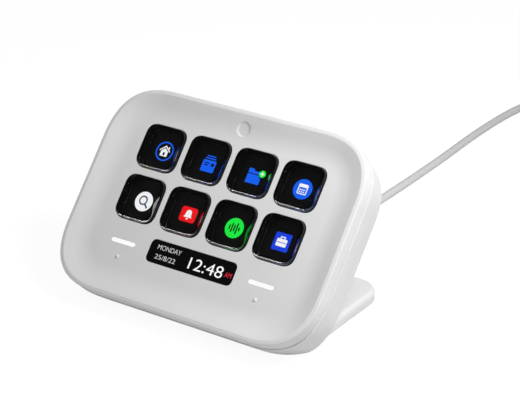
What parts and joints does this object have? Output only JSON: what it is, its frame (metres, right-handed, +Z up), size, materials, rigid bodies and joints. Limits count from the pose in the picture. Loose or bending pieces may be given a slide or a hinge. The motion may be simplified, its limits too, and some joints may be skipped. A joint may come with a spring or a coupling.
{
  "type": "macro keypad",
  "caption": "Desk macro keypad: white dished slab leaning on a fixed foot, clear display keys that press in, a clock window, two light bars and a captive lead with plug.",
  "frame": {"origin": "bottom centre of the keypad without its lead, on the surface it stands on", "axes": "+X to the user's right, +Y away from the user, +Z up"},
  "size_m": [0.1298, 0.3031, 0.0656],
  "materials": {
    "white_shell": "fine satin moulding",
    "white_cover": "fine satin moulding",
    "clear_cap": "polished clear acrylic",
    "black_collar": "satin black",
    "grey_silicone": "matt silicone",
    "amber_film": "smooth polyimide film",
    "display_glass": "glossy black display",
    "black_window": "polished black window",
    "frame_steel": "stamped sheet",
    "light_diffuser": "frosted diffuser",
    "circuit_board": "solder mask",
    "chip_black": "moulded epoxy",
    "copper_foil": "copper foil",
    "screw_steel": "zinc plated",
    "insert_brass": "knurled brass",
    "ballast_steel": "cut plate",
    "foot_rubber": "matt rubber",
    "relief_rubber": "matt soft moulding",
    "lead_jacket": "smooth matt jacket",
    "tie_fabric": "woven strap",
    "plug_plastic": "satin overmould",
    "plug_steel": "bright drawn shell"
  },
  "bodies": {
    "case": {"front_shell": "white_shell", "rear_cover": "white_cover", "base_plate": "white_cover", "screw_plugs": "white_cover", "key_membrane": "grey_silicone", "contact_film": "amber_film", "panel_ribbon": "amber_film", "clock_ribbon": "amber_film", "lcd_panel": "display_glass", "clock_display": "display_glass", "clock_lens": "black_window", "panel_frame": "frame_steel", "light_guide_left": "light_diffuser", "light_guide_right": "light_diffuser", "light_chips": "light_diffuser", "front_board": "circuit_board", "main_board": "circuit_board", "board_chips": "chip_black", "board_link": "chip_black", "lead_header": "chip_black", "inner_lead": "chip_black", "touch_pads": "copper_foil", "board_screws": "screw_steel", "case_screws": "screw_steel", "brass_inserts": "insert_brass", "ballast_plate": "ballast_steel", "rubber_feet": "foot_rubber", "strain_relief": "relief_rubber", "cord": "lead_jacket", "cord_coil": "lead_jacket", "cord_tail": "lead_jacket", "cord_tie": "tie_fabric", "plug_body": "plug_plastic", "plug_tip": "plug_steel"},
    "key_1": {"key_cap_1": "clear_cap", "key_skirt_1": "black_collar"},
    "key_2": {"key_cap_2": "clear_cap", "key_skirt_2": "black_collar"},
    "key_3": {"key_cap_3": "clear_cap", "key_skirt_3": "black_collar"},
    "key_4": {"key_cap_4": "clear_cap", "key_skirt_4": "black_collar"},
    "key_5": {"key_cap_5": "clear_cap", "key_skirt_5": "black_collar"},
    "key_6": {"key_cap_6": "clear_cap", "key_skirt_6": "black_collar"},
    "key_7": {"key_cap_7": "clear_cap", "key_skirt_7": "black_collar"},
    "key_8": {"key_cap_8": "clear_cap", "key_skirt_8": "black_collar"}
  },
  "joints": [
    {"name": "key_1_press", "type": "slide", "parent": "case", "child": "key_1", "axis": [0, 0.759, -0.651], "range_m": [0, 0.0009], "stiffness_N_per_m": 550},
    {"name": "key_2_press", "type": "slide", "parent": "case", "child": "key_2", "axis": [0, 0.759, -0.651], "range_m": [0, 0.0009], "stiffness_N_per_m": 550},
    {"name": "key_3_press", "type": "slide", "parent": "case", "child": "key_3", "axis": [0, 0.759, -0.651], "range_m": [0, 0.0009], "stiffness_N_per_m": 550},
    {"name": "key_4_press", "type": "slide", "parent": "case", "child": "key_4", "axis": [0, 0.759, -0.651], "range_m": [0, 0.0009], "stiffness_N_per_m": 550},
    {"name": "key_5_press", "type": "slide", "parent": "case", "child": "key_5", "axis": [0, 0.759, -0.651], "range_m": [0, 0.0009], "stiffness_N_per_m": 550},
    {"name": "key_6_press", "type": "slide", "parent": "case", "child": "key_6", "axis": [0, 0.759, -0.651], "range_m": [0, 0.0009], "stiffness_N_per_m": 550},
    {"name": "key_7_press", "type": "slide", "parent": "case", "child": "key_7", "axis": [0, 0.759, -0.651], "range_m": [0, 0.0009], "stiffness_N_per_m": 550},
    {"name": "key_8_press", "type": "slide", "parent": "case", "child": "key_8", "axis": [0, 0.759, -0.651], "range_m": [0, 0.0009], "stiffness_N_per_m": 550}
  ]
}
